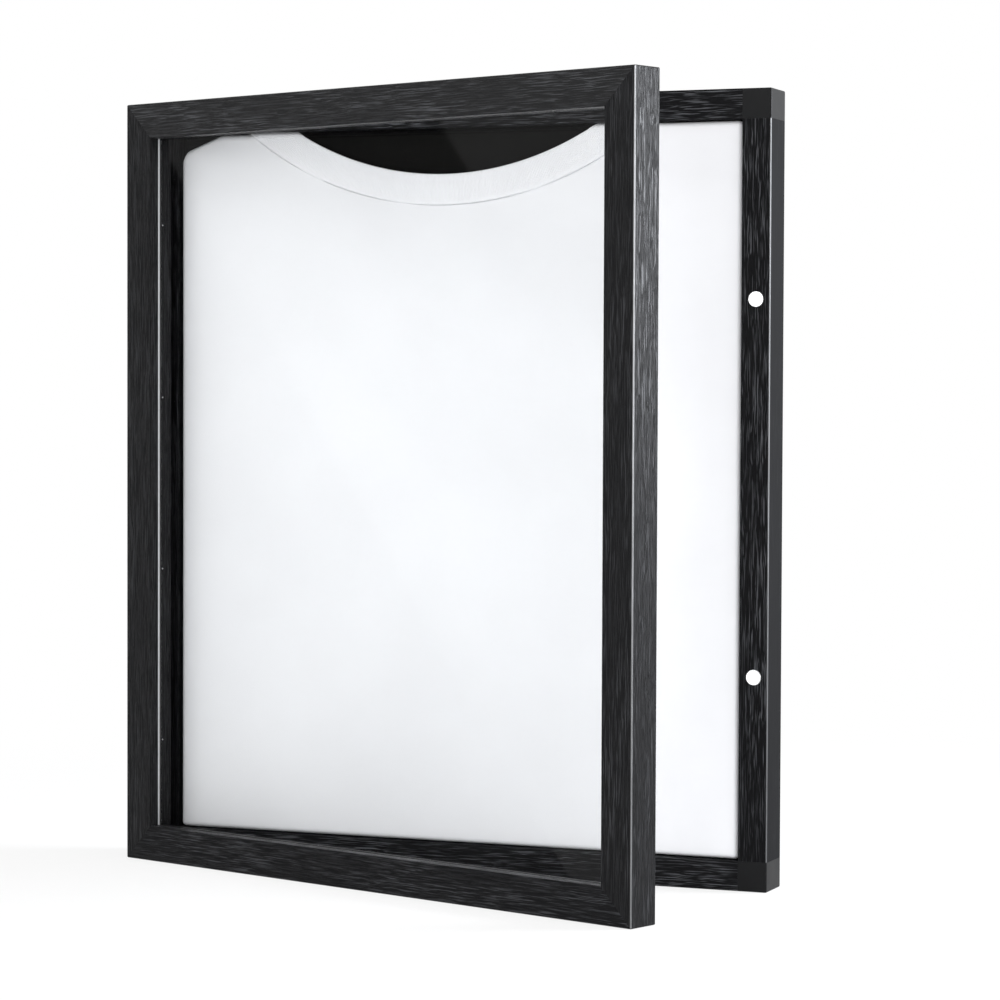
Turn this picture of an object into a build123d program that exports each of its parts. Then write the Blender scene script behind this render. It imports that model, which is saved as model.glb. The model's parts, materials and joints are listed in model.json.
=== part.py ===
from build123d import *
import math
import os

# Jersey display frame: a shallow wall case with a glazed, magnet-held door hinged on its left side.
# Millimetres. +X is right, +Y runs into the wall and +Z is up. The origin is the centre of the
# case's back. Everything on the door is modelled closed, then swung to where it stands ajar.

# ---- driving dimensions: the case and the door ----
FRAME_W = 526.0  # outside width of the case and of the door
FRAME_H = 610.0  # outside height of both
CASE_DEPTH = 34.0
CASE_RAIL_W = 23.0  # face width of the case's rails
DOOR_DEPTH = 27.5
DOOR_RAIL_W = 28.0  # face width of the door's rails, at the front
DOOR_GAP = 0.6  # between the closed door and the case
DOOR_AJAR = 19.0  # degrees that the door stands open
EDGE_R = 1.2  # rounding of the long outer arrises
INNER_EDGE_R = 0.6  # rounding of the arrises round the openings
JOINT_GAP = 0.06  # hairline between pieces that meet at a corner
FIT = 0.1  # clearance of a piece in its seat
SOFT_GAP = 0.4  # clearance of a soft piece from its neighbours

# ---- the case's corner blocks ----
TONGUE_W = 9.0
TONGUE_D = 16.0
TONGUE_LEN = 22.0

# ---- the back ----
PANEL_T = 3.0
PANEL_LAP = 6.0  # how far the panel laps onto each rail
LINING_T = 2.0
PANEL_SCREW_PITCH = 170.0  # the longest distance between two screws

# ---- what is on display ----
BOARD_T = 5.0
BOARD_INSET = 4.0  # the board's edge from the case's inner wall
SHIRT_SETBACK = 2.4  # the shirt's face behind the case's front
SHIRT_T = 5.0
NECK_R = 243.7  # inner edge of the collar
NECK_BAND = 23.5  # width of the ribbed collar
NECK_DROP = 36.3  # the collar's lowest point under the opening's top
NECK_X = -6.4  # the collar's middle, off the centre line
SHOULDER_RUN = 37.0  # the left shoulder's slope
SHOULDER_DROP = 17.5
KNEE_IN = 5.5  # the slope's steeper lower stretch, across and up
KNEE_UP = 5.25
CORNER_NIP_W = 3.0  # the right shoulder's small slope, across and down
CORNER_NIP_H = 2.1
FOLD_INSET = 32.0  # the folded cloth behind the board, from the case's inner wall

# ---- the door's glazing ----
LIP_T = 8.5  # the lip in front of the sheet
REBATE_W = 5.0
SEAL_T = 1.7  # the pale sealing strip between the lip and the sheet
SHEET_T = 2.0
BEAD_T = 2.3
SHEET_EDGE_GAP = 0.4
BRAD_R = 0.5
BRAD_LEN = 11.0
BRAD_PITCH = 150.0

# ---- V nails across the door's mitres ----
NAIL_ARM = 6.0
NAIL_T = 0.8
NAIL_DEEP = 10.0
NAIL_FIRST = 6.0  # from the outer corner, along each side
NAIL_STEP = 7.0

# ---- magnets ----
MAGNET_R = 6.0
MAGNET_T = 3.0
MAGNET_PLAY = 0.3
MAGNET_Z = 143.5  # above and below the pair's middle
MAGNET_RISE = 2.2  # the pair's middle above the frame's

# ---- hinges ----
HINGE_FROM_END = 100.0
LEAF_H = 50.0
LEAF_IN = 15.0  # how far a leaf reaches in from the case's side
LEAF_T = 1.2
KNUCKLE_R = 2.0
KNUCKLE_OUT = 0.2  # the knuckle's clearance from the case's side
KNUCKLE_GAP = 0.3  # between one knuckle and the next
KNUCKLE_ROOM = 0.25  # round a knuckle where the other leaf is cut away
DOOR_KNUCKLE = 17.7  # height of the middle knuckle, which is the door's
PIN_R = 1.0
PIN_PLAY = 0.05
PIN_HEAD_R = 1.7
PIN_HEAD_T = 1.0
LEAF_SCREW_Z = 17.0
LEAF_SCREW_X = 8.5

# ---- keyhole hangers ----
HANGER_FROM_TOP = 110.0
PLATE_MARGIN = 1.5  # between the plate's side and the rail's
PLATE_H = 46.0
PLATE_T = 1.5
KEYHOLE_R = 4.5
KEYSLOT_W = 4.4
KEYSLOT_RISE = 11.0
HEAD_ROOM = 7.5  # depth of the pocket behind the plate
POCKET_MARGIN = 1.5  # between the pocket's side and the plate's
PLATE_SCREW_Z = 18.5

# ---- screws: head radius, shank radius, length ----
PANEL_SCREW = (2.3, 1.1, 12.0)
LEAF_SCREW = (2.3, 1.1, 10.0)
PLATE_SCREW = (2.4, 1.2, 12.0)
SCREW_PLAY = 0.06
CROSS_W = 0.5  # the cross recess in a screw's head
CROSS_DEEP = 0.7

# ---- worked out ----
HALF_W = FRAME_W / 2
HALF_H = FRAME_H / 2
IN_X = HALF_W - CASE_RAIL_W  # half of the case's opening
IN_Z = HALF_H - CASE_RAIL_W
CASE_FRONT = -CASE_DEPTH
DOOR_BACK = CASE_FRONT - DOOR_GAP
DOOR_FRONT = DOOR_BACK - DOOR_DEPTH
SEAL_FRONT = DOOR_FRONT + LIP_T
GLASS_FRONT = SEAL_FRONT + SEAL_T + FIT
BEAD_FRONT = GLASS_FRONT + SHEET_T + FIT
PIN_X = -HALF_W - KNUCKLE_OUT - KNUCKLE_R
PIN_Y = CASE_FRONT - DOOR_GAP / 2
HINGE_AXIS = Axis((PIN_X, PIN_Y, 0), (0, 0, 1))
HINGE_ZS = [HALF_H - HINGE_FROM_END, HINGE_FROM_END - HALF_H]
MAGNET_X = HALF_W - CASE_RAIL_W / 2
MAGNET_ZS = [MAGNET_RISE - MAGNET_Z, MAGNET_RISE + MAGNET_Z]
HANGER_X = HALF_W - (CASE_RAIL_W - PANEL_LAP) / 2
PLATE_W = CASE_RAIL_W - PANEL_LAP - 2 * PLATE_MARGIN
HANGER_Z = HALF_H - HANGER_FROM_TOP
POCKET_W = PLATE_W - 2 * POCKET_MARGIN
SHIRT_FRONT = CASE_FRONT + SHIRT_SETBACK
SHIRT_BACK = SHIRT_FRONT + SHIRT_T
BOARD_FRONT = SHIRT_BACK + SOFT_GAP
BOARD_BACK = BOARD_FRONT + BOARD_T
LINING_FRONT = -PANEL_T - LINING_T
NECK_Z = IN_Z - NECK_DROP + NECK_R


def block(x0, x1, y0, y1, z0, z1):
    """A box between two corners."""
    middle = ((x0 + x1) / 2, (y0 + y1) / 2, (z0 + z1) / 2)
    return Pos(*middle) * Box(abs(x1 - x0), abs(y1 - y0), abs(z1 - z0))


def centred(half_x, y0, y1, half_z):
    """A box centred on the Y axis."""
    return block(-half_x, half_x, y0, y1, -half_z, half_z)


def slab(points, y0, y1):
    """A prism along Y on an outline in the XZ plane."""
    corners = [(x, y0, z) for x, z in points]
    outline = make_face(Polyline(*corners, close=True))
    return extrude(outline, amount=y1 - y0, dir=(0, 1, 0))


def rod(x, y, z, radius, length, direction):
    """A cylinder that starts at a point and runs in a direction."""
    return Part() + Solid.make_cylinder(radius, length, Plane(origin=(x, y, z), z_dir=direction))


def screw_form(place, into, sizes, play):
    """A countersunk screw's outline, head first, or its hole where play is more than 0."""
    head_r, shank_r, length = sizes
    plane = Plane(origin=place, z_dir=(0, into, 0))
    head = Solid.make_cone(head_r + play, shank_r + play, head_r - shank_r, plane)
    return Part() + Solid.make_cylinder(shank_r + play, length + play, plane) + head


def screw(place, into, sizes):
    """A countersunk screw with a cross recess, its head flush at place."""
    x, y, z = place
    deep = y + into * CROSS_DEEP
    arm = sizes[1]
    half = CROSS_W / 2
    cross = block(x - arm, x + arm, y, deep, z - half, z + half)
    cross += block(x - half, x + half, y, deep, z - arm, z + arm)
    return screw_form(place, into, sizes, 0) - cross


def spread(half_length, pitch):
    """Evenly spaced places along a side, no further apart than pitch, without its two ends."""
    count = max(2, math.ceil(2 * half_length / pitch))
    step = 2 * half_length / count
    return [-half_length + step * (i + 0.5) for i in range(count)]


def on_case(z_list, x_list):
    """The places for every pair of a height and a width."""
    return [(x, z) for x in x_list for z in z_list]


# ---- where the fasteners sit ----
PANEL_X = IN_X + PANEL_LAP / 2
PANEL_Z = IN_Z + PANEL_LAP / 2
panel_spots = on_case(spread(IN_Z, PANEL_SCREW_PITCH), [-PANEL_X, PANEL_X])
panel_spots += on_case([-PANEL_Z, PANEL_Z], spread(IN_X, PANEL_SCREW_PITCH))
panel_places = [(x, 0, z) for x, z in panel_spots]
leaf_zs = [zc + dz for zc in HINGE_ZS for dz in (-LEAF_SCREW_Z, 0, LEAF_SCREW_Z)]
case_leaf_places = [(-HALF_W + LEAF_SCREW_X, CASE_FRONT, z) for z in leaf_zs]
door_leaf_places = [(-HALF_W + LEAF_SCREW_X, DOOR_BACK, z) for z in leaf_zs]
plate_places = [
    (side * HANGER_X, 0, HANGER_Z + KEYSLOT_RISE / 2 + dz)
    for side in (-1, 1)
    for dz in (-PLATE_SCREW_Z, PLATE_SCREW_Z)
]


def holes(places, into, sizes):
    """The holes for a set of countersunk screws."""
    return [screw_form(place, into, sizes, SCREW_PLAY) for place in places]


# ---- the case ----
def leaf_plate(y0, y1, zc, play):
    """The flat of a hinge leaf, from the pin's line inwards."""
    start = PIN_X if play == 0 else -HALF_W - 1
    half = LEAF_H / 2 + play
    return block(start, -HALF_W + LEAF_IN + play, y0, y1, zc - half, zc + half)


def keyhole_cut(side, y0, y1):
    """The round entry and the rising slot of a keyhole."""
    x = side * HANGER_X
    half = KEYSLOT_W / 2
    top = HANGER_Z + KEYSLOT_RISE
    entry = rod(x, y0, HANGER_Z, KEYHOLE_R, y1 - y0, (0, 1, 0))
    slot = block(x - half, x + half, y0, y1, HANGER_Z, top)
    return entry + slot + rod(x, y0, top, half, y1 - y0, (0, 1, 0))


def plate_box(side, y0, grow):
    """The keyhole plate's block, or its seat where grow is more than 0."""
    x = side * HANGER_X
    z = HANGER_Z + KEYSLOT_RISE / 2
    half_x = PLATE_W / 2 + grow
    half_z = PLATE_H / 2 + grow
    return block(x - half_x, x + half_x, y0, 0, z - half_z, z + half_z)


def head_pocket(side):
    """The room for a wall screw's head behind a keyhole plate."""
    x = side * HANGER_X
    half = POCKET_W / 2
    low = HANGER_Z - KEYHOLE_R - FIT
    high = HANGER_Z + KEYSLOT_RISE + half
    return block(x - half, x + half, -PLATE_T - HEAD_ROOM, -PLATE_T, low, high)


def tongue(sx, sz, upright, grow):
    """A corner block's tongue: level, into the top or bottom rail, or upright, into a side rail."""
    mid = -CASE_DEPTH / 2
    half_d = TONGUE_D / 2 + grow
    half_w = TONGUE_W / 2 + grow
    reach = TONGUE_LEN + grow
    if upright:
        x = sx * (HALF_W - CASE_RAIL_W / 2)
        return block(x - half_w, x + half_w, mid - half_d, mid + half_d, sz * IN_Z, sz * (IN_Z - reach))
    z = sz * (HALF_H - CASE_RAIL_W / 2)
    return block(sx * IN_X, sx * (IN_X - reach), mid - half_d, mid + half_d, z - half_w, z + half_w)


def case_ring():
    """The whole case frame in one piece, with every seat cut, before it is divided."""
    ring = centred(HALF_W, CASE_FRONT, 0, HALF_H)
    ring = fillet(ring.edges().filter_by(Axis.Y), EDGE_R)
    front = ring.faces().sort_by(Axis.Y)[0]
    ring = fillet(front.edges(), EDGE_R)
    ring -= centred(IN_X, CASE_FRONT, 0, IN_Z)
    front = ring.faces().sort_by(Axis.Y)[0]
    ring = fillet(front.inner_wires()[0].edges(), INNER_EDGE_R)
    ring -= centred(IN_X + PANEL_LAP, -PANEL_T, 0, IN_Z + PANEL_LAP)
    for zc in HINGE_ZS:
        ring -= leaf_plate(CASE_FRONT - 1, CASE_FRONT + LEAF_T + FIT, zc, FIT)
    for z in MAGNET_ZS:
        ring -= rod(MAGNET_X, CASE_FRONT, z, MAGNET_R + MAGNET_PLAY, MAGNET_T + FIT, (0, 1, 0))
    for side in (-1, 1):
        ring -= plate_box(side, -PLATE_T - FIT, FIT)
        ring -= head_pocket(side)
    for hole in holes(panel_places, -1, PANEL_SCREW) + holes(plate_places, -1, PLATE_SCREW):
        ring -= hole
    for hole in holes(case_leaf_places, 1, LEAF_SCREW):
        ring -= hole
    return ring


def case_pieces():
    """The four rails and the four corner blocks with their tongues."""
    ring = case_ring()
    pieces = {}
    edge_x = HALF_W - CASE_RAIL_W - JOINT_GAP
    edge_z = HALF_H - CASE_RAIL_W - JOINT_GAP
    for name, sz in (("top", 1), ("bottom", -1)):
        rail = ring & block(-edge_x, edge_x, CASE_FRONT, 0, sz * IN_Z, sz * HALF_H)
        for sx in (-1, 1):
            rail -= tongue(sx, sz, False, FIT)
        pieces["case_rail_" + name] = rail
    for name, sx in (("left", -1), ("right", 1)):
        rail = ring & block(sx * IN_X, sx * HALF_W, CASE_FRONT, 0, -edge_z, edge_z)
        for sz in (-1, 1):
            rail -= tongue(sx, sz, True, FIT)
        pieces["case_rail_" + name] = rail
    for z_name, sz in (("top", 1), ("bottom", -1)):
        for x_name, sx in (("left", -1), ("right", 1)):
            corner = ring & block(sx * IN_X, sx * HALF_W, CASE_FRONT, 0, sz * IN_Z, sz * HALF_H)
            corner += tongue(sx, sz, False, 0) + tongue(sx, sz, True, 0)
            pieces[f"case_corner_{z_name}_{x_name}"] = corner
    return pieces


def back_panel():
    """The hardboard back, flush in its rebate."""
    panel = centred(IN_X + PANEL_LAP - FIT, -PANEL_T, 0, IN_Z + PANEL_LAP - FIT)
    for hole in holes(panel_places, -1, PANEL_SCREW):
        panel -= hole
    return panel


def keyhole_plate(side):
    """A steel keyhole plate, flush in the back of a side rail."""
    plate = plate_box(side, -PLATE_T, 0)
    plate = fillet(plate.edges().filter_by(Axis.Y), PLATE_W / 4)
    plate -= keyhole_cut(side, -PLATE_T, 0)
    for hole in holes([p for p in plate_places if p[0] * side > 0], -1, PLATE_SCREW):
        plate -= hole
    return plate


# ---- what is on display ----
def collar_disc(radius):
    """A disc about the collar's centre, thicker than the shirt."""
    return rod(NECK_X, SHIRT_FRONT - 1, NECK_Z, radius, SHIRT_T + 2, (0, 1, 0))


def shirt_outline():
    """The shirt's front, with its sloping left shoulder and the small slope at the right."""
    right = IN_X - SOFT_GAP
    top = IN_Z - SOFT_GAP
    low = top - SHOULDER_DROP
    return [
        (-right, -top),
        (right, -top),
        (right, top - CORNER_NIP_H),
        (right - CORNER_NIP_W, top),
        (-right + SHOULDER_RUN, top),
        (-right + KNEE_IN, low + KNEE_UP),
        (-right, low),
    ]


def shirt_front():
    """The plain front of the folded shirt, up to the collar's seam."""
    return slab(shirt_outline(), SHIRT_FRONT, SHIRT_BACK) - collar_disc(NECK_R + NECK_BAND + SOFT_GAP)


def shirt_collar():
    """The ribbed band round the neck, cut off where it turns over the board's top edge."""
    below = centred(IN_X - SOFT_GAP, SHIRT_FRONT, SHIRT_BACK, IN_Z - SOFT_GAP)
    return (below & collar_disc(NECK_R + NECK_BAND)) - collar_disc(NECK_R)


def shirt_folded_back():
    """The rest of the shirt, folded flat behind the board."""
    y0 = BOARD_BACK + SOFT_GAP
    y1 = LINING_FRONT - SOFT_GAP
    bundle = centred(IN_X - FOLD_INSET, y0, y1, IN_Z - FOLD_INSET)
    return fillet(bundle.edges().filter_by(Axis.Y), FOLD_INSET / 2)


# ---- the door ----
def mitre_spots():
    """The apex of each V nail, with the corner that it sits in."""
    offsets = [NAIL_FIRST, NAIL_FIRST + NAIL_STEP]
    return [(sx, sz, off) for sx in (-1, 1) for sz in (-1, 1) for off in offsets]


def mitre_nail(sx, sz, off, grow):
    """A right-angled V nail, one arm in each of the two pieces that meet, or its slot."""
    x = sx * (HALF_W - off)
    z = sz * (HALF_H - off)
    half = NAIL_T / 2 + grow
    end_x = x - sx * (NAIL_ARM + grow)
    end_z = z - sz * (NAIL_ARM + grow)
    y0 = DOOR_BACK - NAIL_DEEP - grow
    level = block(x + sx * half, end_x, y0, DOOR_BACK, z - half, z + half)
    return level + block(x - half, x + half, y0, DOOR_BACK, z + sz * half, end_z)


def door_ring():
    """The whole door frame in one piece, with its rebate and every seat cut."""
    ring = centred(HALF_W, DOOR_FRONT, DOOR_BACK, HALF_H)
    ring = fillet(ring.edges().filter_by(Axis.Y), EDGE_R)
    front = ring.faces().sort_by(Axis.Y)[0]
    ring = fillet(front.edges(), EDGE_R)
    win_x = HALF_W - DOOR_RAIL_W
    win_z = HALF_H - DOOR_RAIL_W
    ring -= centred(win_x, DOOR_FRONT, DOOR_BACK, win_z)
    front = ring.faces().sort_by(Axis.Y)[0]
    ring = fillet(front.inner_wires()[0].edges(), INNER_EDGE_R)
    ring -= centred(win_x + REBATE_W, DOOR_FRONT + LIP_T, DOOR_BACK, win_z + REBATE_W)
    for zc in HINGE_ZS:
        ring -= leaf_plate(DOOR_BACK - LEAF_T - FIT, DOOR_BACK + 1, zc, FIT)
    for z in MAGNET_ZS:
        ring -= rod(MAGNET_X, DOOR_BACK, z, MAGNET_R + MAGNET_PLAY, MAGNET_T + FIT, (0, -1, 0))
    for hole in holes(door_leaf_places, -1, LEAF_SCREW):
        ring -= hole
    for sx, sz, off in mitre_spots():
        ring -= mitre_nail(sx, sz, off, FIT / 2)
    for hole in brads(FIT / 2):
        ring -= hole
    return ring


def door_pieces():
    """The two rails and two stiles, divided by the mitres."""
    ring = door_ring()
    w = DOOR_RAIL_W
    g = JOINT_GAP
    pieces = {}
    for name, sz in (("rail_top", 1), ("rail_bottom", -1)):
        outer = sz * HALF_H
        inner = sz * (HALF_H - w)
        points = [(g - HALF_W, outer), (HALF_W - g, outer), (HALF_W - g - w, inner), (w + g - HALF_W, inner)]
        pieces["door_" + name] = ring & slab(points, DOOR_FRONT, DOOR_BACK)
    for name, sx in (("stile_left", -1), ("stile_right", 1)):
        outer = sx * HALF_W
        inner = sx * (HALF_W - w)
        points = [(outer, HALF_H - g), (outer, g - HALF_H), (inner, w + g - HALF_H), (inner, HALF_H - g - w)]
        pieces["door_" + name] = ring & slab(points, DOOR_FRONT, DOOR_BACK)
    return pieces


def acrylic_sheet():
    """The clear sheet against the lip."""
    half_x = HALF_W - DOOR_RAIL_W + REBATE_W - SHEET_EDGE_GAP
    half_z = HALF_H - DOOR_RAIL_W + REBATE_W - SHEET_EDGE_GAP
    return centred(half_x, GLASS_FRONT, GLASS_FRONT + SHEET_T, half_z)


def brads(grow):
    """The brads that hold the beads, driven sideways through each bead into its stile or rail."""
    y = BEAD_FRONT + BEAD_T / 2
    win_x = HALF_W - DOOR_RAIL_W
    win_z = HALF_H - DOOR_RAIL_W
    radius = BRAD_R + grow
    reach = BRAD_LEN + grow
    made = []
    for side in (-1, 1):
        for z in spread(win_z, BRAD_PITCH):
            made.append(rod(side * win_x, y, z, radius, reach, (side, 0, 0)))
        for x in spread(win_x, BRAD_PITCH):
            made.append(rod(x, y, side * win_z, radius, reach, (0, 0, side)))
    return made


def strips(prefix, y0, y1):
    """Four strips round the rebate: the top and bottom run across, and the sides fit between them."""
    win_x = HALF_W - DOOR_RAIL_W
    win_z = HALF_H - DOOR_RAIL_W
    out_x = win_x + REBATE_W - FIT
    out_z = win_z + REBATE_W - FIT
    end_z = win_z - JOINT_GAP
    made = {}
    for name, side in (("top", 1), ("bottom", -1)):
        made[prefix + name] = block(-out_x, out_x, y0, y1, side * win_z, side * out_z)
    for name, side in (("left", -1), ("right", 1)):
        made[prefix + name] = block(side * win_x, side * out_x, y0, y1, -end_z, end_z)
    return made


def beads():
    """The four beads that hold the sheet against its seal, bored for their brads."""
    made = strips("bead_", BEAD_FRONT, BEAD_FRONT + BEAD_T)
    for name in made:
        for hole in brads(FIT / 2):
            made[name] = made[name] - hole
    return made


# ---- the hinges ----
def knuckle_spans(zc):
    """The heights of the door's knuckle and of the case's two, as (low, high)."""
    half = DOOR_KNUCKLE / 2
    start = half + KNUCKLE_GAP
    door = [(zc - half, zc + half)]
    case = [(zc - LEAF_H / 2, zc - start), (zc + start, zc + LEAF_H / 2)]
    return door, case


def hinge_leaf(zc, y0, y1, own, other, places, into):
    """A hinge leaf: its flat, its knuckles and its screw holes, cut clear of the other leaf's."""
    leaf = leaf_plate(y0, y1, zc, 0)
    for low, high in other:
        start = low - KNUCKLE_GAP
        leaf -= rod(PIN_X, PIN_Y, start, KNUCKLE_R + KNUCKLE_ROOM, high - low + 2 * KNUCKLE_GAP, (0, 0, 1))
    for low, high in own:
        leaf += rod(PIN_X, PIN_Y, low, KNUCKLE_R, high - low, (0, 0, 1))
    leaf -= rod(PIN_X, PIN_Y, zc - LEAF_H, PIN_R + PIN_PLAY, 2 * LEAF_H, (0, 0, 1))
    near = [place for place in places if abs(place[2] - zc) < LEAF_H / 2]
    for hole in holes(near, into, LEAF_SCREW):
        leaf -= hole
    return leaf


def hinge_pin(zc):
    """A hinge pin with a flat head at each end."""
    low = zc - LEAF_H / 2 - FIT
    high = zc + LEAF_H / 2 + FIT
    pin = rod(PIN_X, PIN_Y, low - PIN_HEAD_T, PIN_R, high - low + 2 * PIN_HEAD_T, (0, 0, 1))
    pin += rod(PIN_X, PIN_Y, low - PIN_HEAD_T, PIN_HEAD_R, PIN_HEAD_T, (0, 0, 1))
    return pin + rod(PIN_X, PIN_Y, high, PIN_HEAD_R, PIN_HEAD_T, (0, 0, 1))


def hinge_leaves():
    """The case's leaves and the door's leaves."""
    case_leaves = []
    door_leaves = []
    for zc in HINGE_ZS:
        door, case = knuckle_spans(zc)
        y0, y1 = CASE_FRONT, CASE_FRONT + LEAF_T
        case_leaves.append(hinge_leaf(zc, y0, y1, case, door, case_leaf_places, 1))
        y0, y1 = DOOR_BACK - LEAF_T, DOOR_BACK
        door_leaves.append(hinge_leaf(zc, y0, y1, door, case, door_leaf_places, -1))
    return case_leaves, door_leaves


def magnet(face, into, z):
    """A disc magnet with a broken edge, flush in its pocket."""
    disc = rod(MAGNET_X, face, z, MAGNET_R, MAGNET_T, (0, into, 0))
    return chamfer(disc.edges(), MAGNET_PLAY)


def build():
    """Every node, as a name and its solids: first the case's, then the door's."""
    case_leaves, door_leaves = hinge_leaves()
    case = case_pieces()
    case["back_panel"] = back_panel()
    case["back_panel_screws"] = [screw(place, -1, PANEL_SCREW) for place in panel_places]
    case["backing_lining"] = centred(IN_X - FIT, LINING_FRONT, -PANEL_T, IN_Z - FIT)
    case["display_board"] = centred(IN_X - BOARD_INSET, BOARD_FRONT, BOARD_BACK, IN_Z - BOARD_INSET)
    case["shirt_front"] = shirt_front()
    case["shirt_collar"] = shirt_collar()
    case["shirt_folded_back"] = shirt_folded_back()
    case["case_magnets"] = [magnet(CASE_FRONT, 1, z) for z in MAGNET_ZS]
    case["keyhole_plates"] = [keyhole_plate(side) for side in (-1, 1)]
    case["keyhole_screws"] = [screw(place, -1, PLATE_SCREW) for place in plate_places]
    case["hinge_case_leaves"] = case_leaves
    case["hinge_case_screws"] = [screw(place, 1, LEAF_SCREW) for place in case_leaf_places]
    case["hinge_pins"] = [hinge_pin(zc) for zc in HINGE_ZS]
    door = door_pieces()
    door["acrylic_sheet"] = acrylic_sheet()
    door["glazing_seal"] = list(strips("seal_", SEAL_FRONT, SEAL_FRONT + SEAL_T).values())
    door.update(beads())
    door["bead_brads"] = brads(0)
    door["mitre_nails"] = [mitre_nail(sx, sz, off, 0) for sx, sz, off in mitre_spots()]
    door["door_magnets"] = [magnet(DOOR_BACK, -1, z) for z in MAGNET_ZS]
    door["hinge_door_leaves"] = door_leaves
    door["hinge_door_screws"] = [screw(place, -1, LEAF_SCREW) for place in door_leaf_places]
    return case, door


def solids_of(piece):
    """The solids of one piece or of a list of pieces."""
    pieces = piece if isinstance(piece, list) else [piece]
    return [solid for one in pieces for solid in one.solids()]


def write(name, solids):
    """Writes one node's STEP file."""
    whole = solids[0] if len(solids) == 1 else Compound(solids)
    export_step(whole, os.path.join("parts", name + ".step"))


os.makedirs("parts", exist_ok=True)
case_nodes, door_nodes = build()
for name, piece in case_nodes.items():
    write(name, solids_of(piece))
for name, piece in door_nodes.items():
    write(name, [solid.rotate(HINGE_AXIS, -DOOR_AJAR) for solid in solids_of(piece)])
print("nodes", len(case_nodes) + len(door_nodes))
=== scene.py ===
import json
import math

import bmesh
import bpy
import numpy as np
from bpy.props import FloatProperty, FloatVectorProperty, PointerProperty
from mathutils import Matrix, Vector


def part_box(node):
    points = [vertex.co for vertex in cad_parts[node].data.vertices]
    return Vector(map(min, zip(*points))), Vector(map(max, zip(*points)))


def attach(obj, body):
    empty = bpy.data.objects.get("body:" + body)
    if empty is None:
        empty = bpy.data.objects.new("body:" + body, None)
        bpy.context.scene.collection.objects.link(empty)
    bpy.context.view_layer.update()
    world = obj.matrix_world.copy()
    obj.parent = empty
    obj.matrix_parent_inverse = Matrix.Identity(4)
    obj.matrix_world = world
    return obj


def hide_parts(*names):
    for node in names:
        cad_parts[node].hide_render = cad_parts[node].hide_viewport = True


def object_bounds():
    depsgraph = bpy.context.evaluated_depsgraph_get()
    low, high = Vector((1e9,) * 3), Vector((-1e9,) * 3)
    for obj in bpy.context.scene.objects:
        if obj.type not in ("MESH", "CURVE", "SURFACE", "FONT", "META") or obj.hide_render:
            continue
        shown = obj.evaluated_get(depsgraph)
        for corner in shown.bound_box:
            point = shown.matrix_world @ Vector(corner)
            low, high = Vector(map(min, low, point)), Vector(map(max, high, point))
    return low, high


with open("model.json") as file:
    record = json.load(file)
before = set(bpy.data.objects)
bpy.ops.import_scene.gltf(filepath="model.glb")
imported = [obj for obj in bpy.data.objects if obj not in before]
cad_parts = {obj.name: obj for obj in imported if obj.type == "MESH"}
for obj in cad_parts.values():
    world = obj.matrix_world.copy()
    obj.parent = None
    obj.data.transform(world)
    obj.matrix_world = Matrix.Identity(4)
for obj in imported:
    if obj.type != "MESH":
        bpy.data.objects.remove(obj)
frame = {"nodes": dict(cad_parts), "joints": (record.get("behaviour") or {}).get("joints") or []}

bl_info = {
    "name": "Jersey display frame",
    "version": (1, 0, 0),
    "blender": (4, 5, 0),
    "location": "View3D > Sidebar > Display frame",
    "description": "Finishes a wall case with a glazed door, makes the shirt on show, and sets the stage",
    "category": "Object",
}

CAD_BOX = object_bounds()
NODES = frame["nodes"]
HINGE = frame["joints"][0]
DOOR_AJAR = math.radians(-HINGE["range_deg"][0])  # how far the door stands open at rest
PIN = Vector(HINGE["pos_m"])
SHIRT_LOW, SHIRT_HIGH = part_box("shirt_front")
BUNDLE_LOW, BUNDLE_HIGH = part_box("shirt_folded_back")
CASE_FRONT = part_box("case_rail_top")[0].y
DOOR_GAP = 0.0006  # between the case and the shut door
DOOR_DEPTH = 0.0275
DOOR_FRONT = CASE_FRONT - DOOR_GAP - DOOR_DEPTH  # with the door shut
MM = 0.001

# the painted highlight along the moulding's outer arris, from the corner of its square
ARRIS_CORE = 0.0005
ARRIS_RADIUS = 0.0012

# the sheet
SHEET_INDEX = 1.49
BOTH_FACES = 1.8  # how much more the sheet mirrors than one face of it does

# the knit
JERSEY_WALE = 0.9 * MM  # from one column of stitches to the next
JERSEY_COURSE = 0.7 * MM  # from one row of stitches to the next
RIB_WALE = 1.35 * MM
RIB_COURSE = 0.8 * MM

# the shirt's front: how far it stays inside the CAD solid, its left shoulder, and its creases
FACE_SET_BACK = 0.0007
SIDE_SET_IN = 0.0009
END_SET_IN = 0.0004
SHOULDER_SLOPE = 0.40
SHOULDER_EASE = 0.0015
KNEE_SLOPE = 0.7
KNEE_WIDTH = 0.0055
PILLOW_WIDTH = 0.011
CREASES = (  # x0, x1, z0, z1, width, and height in millimetres
    (-0.178, -0.128, -0.2630, -0.2640, 0.0011, 0.42),
    (-0.205, -0.160, 0.2762, 0.2768, 0.0013, 0.40),
    (-0.230, -0.222, 0.1500, 0.2300, 0.0060, 0.30),
)

# the folded bundle
BUNDLE_VOXEL = 0.0042
BUNDLE_PRESSURE = 3.0
BUNDLE_FRAMES = 14
BUNDLE_SWELL = 0.006  # the furthest that the pressure may move the cloth along each axis
BUNDLE_MARGIN = 0.0004  # between the bundle and its CAD box

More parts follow.
